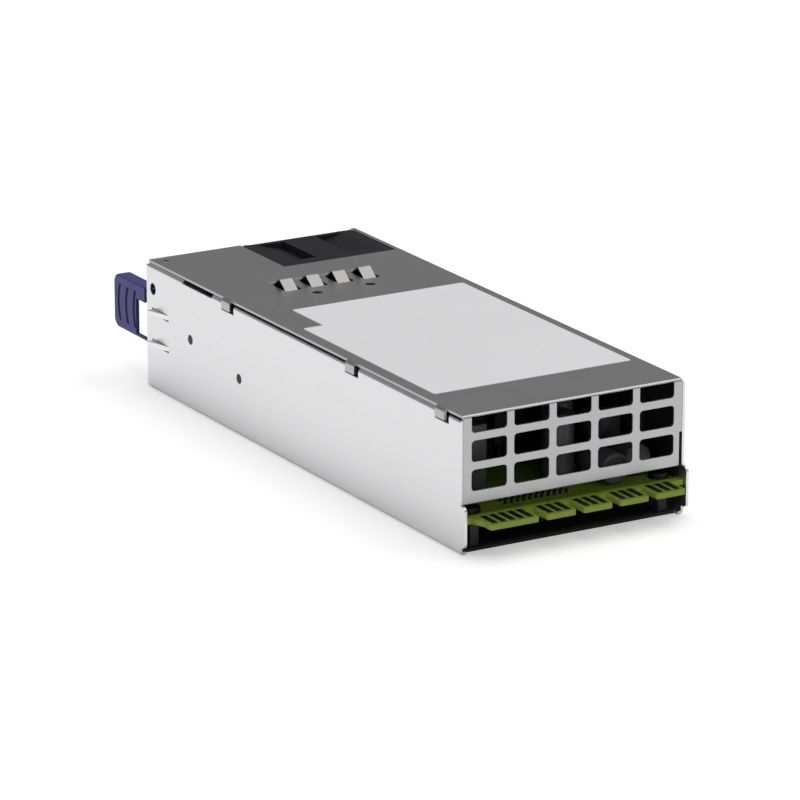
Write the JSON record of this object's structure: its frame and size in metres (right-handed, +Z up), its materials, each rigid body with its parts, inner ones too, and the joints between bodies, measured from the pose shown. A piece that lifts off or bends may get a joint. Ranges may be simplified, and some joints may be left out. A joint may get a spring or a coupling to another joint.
{
  "type": "hot swap server power supply",
  "caption": "Slim steel hot swap power supply drawer with a card-edge connector and vent grille in front, and a latch, inlet, fan and pull handle behind.",
  "frame": {"origin": "middle of the case's underside, on the surface it rests on", "axes": "+Y from the card edge to the inlet end, +Z up, +X across to the fan side"},
  "size_m": [0.0756, 0.2176, 0.0423],
  "materials": {
    "zinc_steel": "satin zinc-coated sheet",
    "lid_steel": "satin zinc-coated sheet",
    "spring_steel": "bright nickel-plated sheet",
    "label_film": "blank satin film",
    "black_plastic": "moulded, fine texture",
    "violet_plastic": "moulded, satin",
    "fastener_steel": "zinc plated",
    "handle_coat": "black powder coat",
    "brass": "machined",
    "copper": "enamelled or tinned",
    "board_green": "solder mask",
    "contact_metal": "darkened plating",
    "lens": "clear moulded",
    "can_sleeve": "sleeved aluminium can",
    "ferrite": "pressed ferrite",
    "sink_aluminium": "extruded",
    "component_case": "moulded",
    "film_case": "moulded",
    "insulator": "thin sheet"
  },
  "bodies": {
    "case": {"chassis": "zinc_steel", "top_cover": "lid_steel", "rear_panel": "zinc_steel", "cover_screw": "fastener_steel", "grounding_springs": "spring_steel", "rating_label": "label_film", "fan_frame": "black_plastic", "fan_bearing": "brass", "fan_stator": "copper", "fan_guard": "fastener_steel", "fan_screws": "fastener_steel", "pull_handle": "handle_coat", "inlet_socket": "black_plastic", "inlet_blades": "brass", "inlet_links": "copper", "status_light": "lens", "latch_bracket": "zinc_steel", "latch_pin": "fastener_steel", "latch_spring": "spring_steel", "wall_rivets": "fastener_steel", "main_board": "board_green", "edge_contacts": "contact_metal", "signal_pins": "brass", "signal_connector": "black_plastic", "board_standoffs": "brass", "board_screws": "fastener_steel", "floor_insulator": "insulator", "output_capacitors": "can_sleeve", "bulk_capacitors": "can_sleeve", "transformer_core": "ferrite", "transformer_winding": "copper", "boost_choke_core": "ferrite", "boost_choke_winding": "copper", "filter_choke_core": "ferrite", "filter_choke_winding": "copper", "primary_heatsink": "sink_aluminium", "output_heatsink": "sink_aluminium", "power_transistors": "component_case", "bridge_rectifier": "component_case", "film_capacitors": "film_case", "fuse": "component_case", "relay": "component_case", "control_card": "board_green", "output_busbars": "copper", "standby_transformer": "component_case", "fan_header": "black_plastic", "fan_lead": "insulator"},
    "impeller": {"fan_rotor": "black_plastic", "fan_shaft": "fastener_steel", "rotor_magnet": "ferrite"},
    "latch": {"thumb_tab": "violet_plastic", "latch_plate": "spring_steel"}
  },
  "joints": [
    {"name": "fan_spin", "type": "hinge", "parent": "case", "child": "impeller", "pos_m": [0.015, 0.08, 0.0209], "axis": [0, 1, 0], "continuous": true},
    {"name": "latch_press", "type": "hinge", "parent": "case", "child": "latch", "pos_m": [-0.0323, 0.0705, 0.02185], "axis": [0, 0, -1], "range_deg": [0, 7.5], "stiffness_Nm_per_rad": 0.3, "springref_deg": -5.73, "deforming": ["latch_spring"]}
  ]
}
